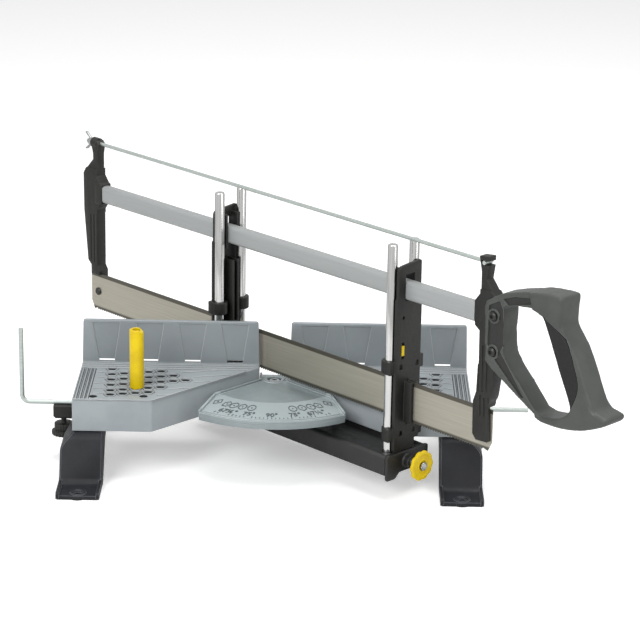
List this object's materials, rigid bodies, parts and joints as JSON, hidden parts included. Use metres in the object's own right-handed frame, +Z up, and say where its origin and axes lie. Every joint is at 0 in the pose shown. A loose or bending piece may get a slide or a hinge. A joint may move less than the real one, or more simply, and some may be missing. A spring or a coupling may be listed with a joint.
{
  "type": "mitre box",
  "caption": "Guided mitre box: frame saw in rod guides on a swing arm, protractor plate, two fenced cast tables, cam peg, length stop rod and ramp feet.",
  "frame": {"origin": "on the swing arm's pivot axis, on the flat top of the pivot bolt's head, level with the protractor's surface", "axes": "+X along the fence to the right, +Y behind the fence, +Z up"},
  "size_m": [0.5508, 0.5107, 0.2626],
  "materials": {
    "cast_grey": "die cast, satin grey",
    "plate_grey": "die cast, satin grey with lighter scale band",
    "bright_steel": "bright",
    "foot_plastic": "moulded, satin",
    "black_plastic": "moulded, satin",
    "arm_black": "black paint, satin",
    "chrome_rod": "polished",
    "yellow_plastic": "moulded, glossy",
    "blade_steel": "ground steel",
    "bar_grey": "grey paint, satin",
    "handle_grey": "moulded, satin",
    "pad_rubber": "soft, matt"
  },
  "bodies": {
    "base": {"left_table": "cast_grey", "right_table": "cast_grey", "protractor_plate": "plate_grey", "pivot_bolt": "bright_steel", "pivot_washer": "bright_steel", "pivot_nut": "bright_steel", "plate_screw_left_front": "bright_steel", "plate_screw_left_rear": "bright_steel", "plate_screw_right_front": "bright_steel", "plate_screw_right_rear": "bright_steel", "foot_screw_left_front": "bright_steel", "foot_screw_left_rear": "bright_steel", "foot_screw_right_front": "bright_steel", "foot_screw_right_rear": "bright_steel", "left_foot": "foot_plastic", "right_foot": "foot_plastic", "rod_clamp": "black_plastic"},
    "stop_rod": {"length_stop_rod": "bright_steel"},
    "clamp_screw": {"clamp_thumb_screw": "black_plastic"},
    "peg": {"cam_peg": "yellow_plastic"},
    "arm": {"arm_channel": "arm_black", "arm_end_bracket": "arm_black", "front_rod_block": "arm_black", "rear_rod_block": "arm_black", "front_rod_near": "chrome_rod", "front_rod_far": "chrome_rod", "rear_rod_near": "chrome_rod", "rear_rod_far": "chrome_rod", "plunger_spring": "bright_steel"},
    "plunger": {"detent_plunger": "bright_steel"},
    "knob": {"lock_knob": "yellow_plastic", "knob_nut": "bright_steel"},
    "front_carriage": {"front_guide": "black_plastic"},
    "latch": {"guide_latch": "yellow_plastic"},
    "rear_carriage": {"rear_guide": "black_plastic"},
    "saw": {"saw_blade": "blade_steel", "rear_blade_pin": "bright_steel", "front_blade_pin": "bright_steel", "spacer_bar": "bar_grey", "rear_bracket": "black_plastic", "front_bracket": "black_plastic", "tension_rod": "bright_steel", "handle": "handle_grey", "grip_pad": "pad_rubber", "upper_handle_screw": "bright_steel", "lower_handle_screw": "bright_steel"},
    "tension_nut": {"wing_nut": "bright_steel"}
  },
  "joints": [
    {"name": "arm_swing", "type": "hinge", "parent": "base", "child": "arm", "pos_m": [0, 0, 0], "axis": [0, 0, 1], "range_deg": [-90, 0]},
    {"name": "detent_pull", "type": "slide", "parent": "arm", "child": "plunger", "axis": [0.7071, -0.7071, 0], "range_m": [-0.006, 0]},
    {"name": "knob_turn", "type": "hinge", "parent": "plunger", "child": "knob", "pos_m": [0.13647, -0.13647, -0.0317], "axis": [0.7071, -0.7071, 0], "range_deg": [-90, 90]},
    {"name": "front_guide_lift", "type": "slide", "parent": "arm", "child": "front_carriage", "axis": [0, 0, 1], "range_m": [0, 0.105]},
    {"name": "rear_guide_lift", "type": "slide", "parent": "arm", "child": "rear_carriage", "axis": [0, 0, 1], "range_m": [0, 0.105]},
    {"name": "latch_slide", "type": "slide", "parent": "front_carriage", "child": "latch", "axis": [0, 0, 1], "range_m": [-0.0028, 0.0028]},
    {"name": "saw_stroke", "type": "slide", "parent": "front_carriage", "child": "saw", "axis": [0.7071, -0.7071, 0], "range_m": [-0.07, 0.16]},
    {"name": "wing_nut_turn", "type": "hinge", "parent": "saw", "child": "tension_nut", "pos_m": [-0.1953, 0.1953, 0.18713], "axis": [0.7071, -0.7071, -0.0067], "continuous": true},
    {"name": "stop_rod_slide", "type": "slide", "parent": "base", "child": "stop_rod", "axis": [1, 0, 0], "range_m": [-0.05, 0.02]},
    {"name": "clamp_screw_turn", "type": "hinge", "parent": "base", "child": "clamp_screw", "pos_m": [-0.2022, -0.045, -0.035], "axis": [0, 0, 1], "continuous": true},
    {"name": "peg_turn", "type": "hinge", "parent": "base", "child": "peg", "pos_m": [-0.1307, -0.0695, 0.0138], "axis": [0, 0, 1], "continuous": true}
  ],
  "couplings": [
    {"joint": "rear_guide_lift", "follows": "front_guide_lift", "ratio": 1}
  ]
}
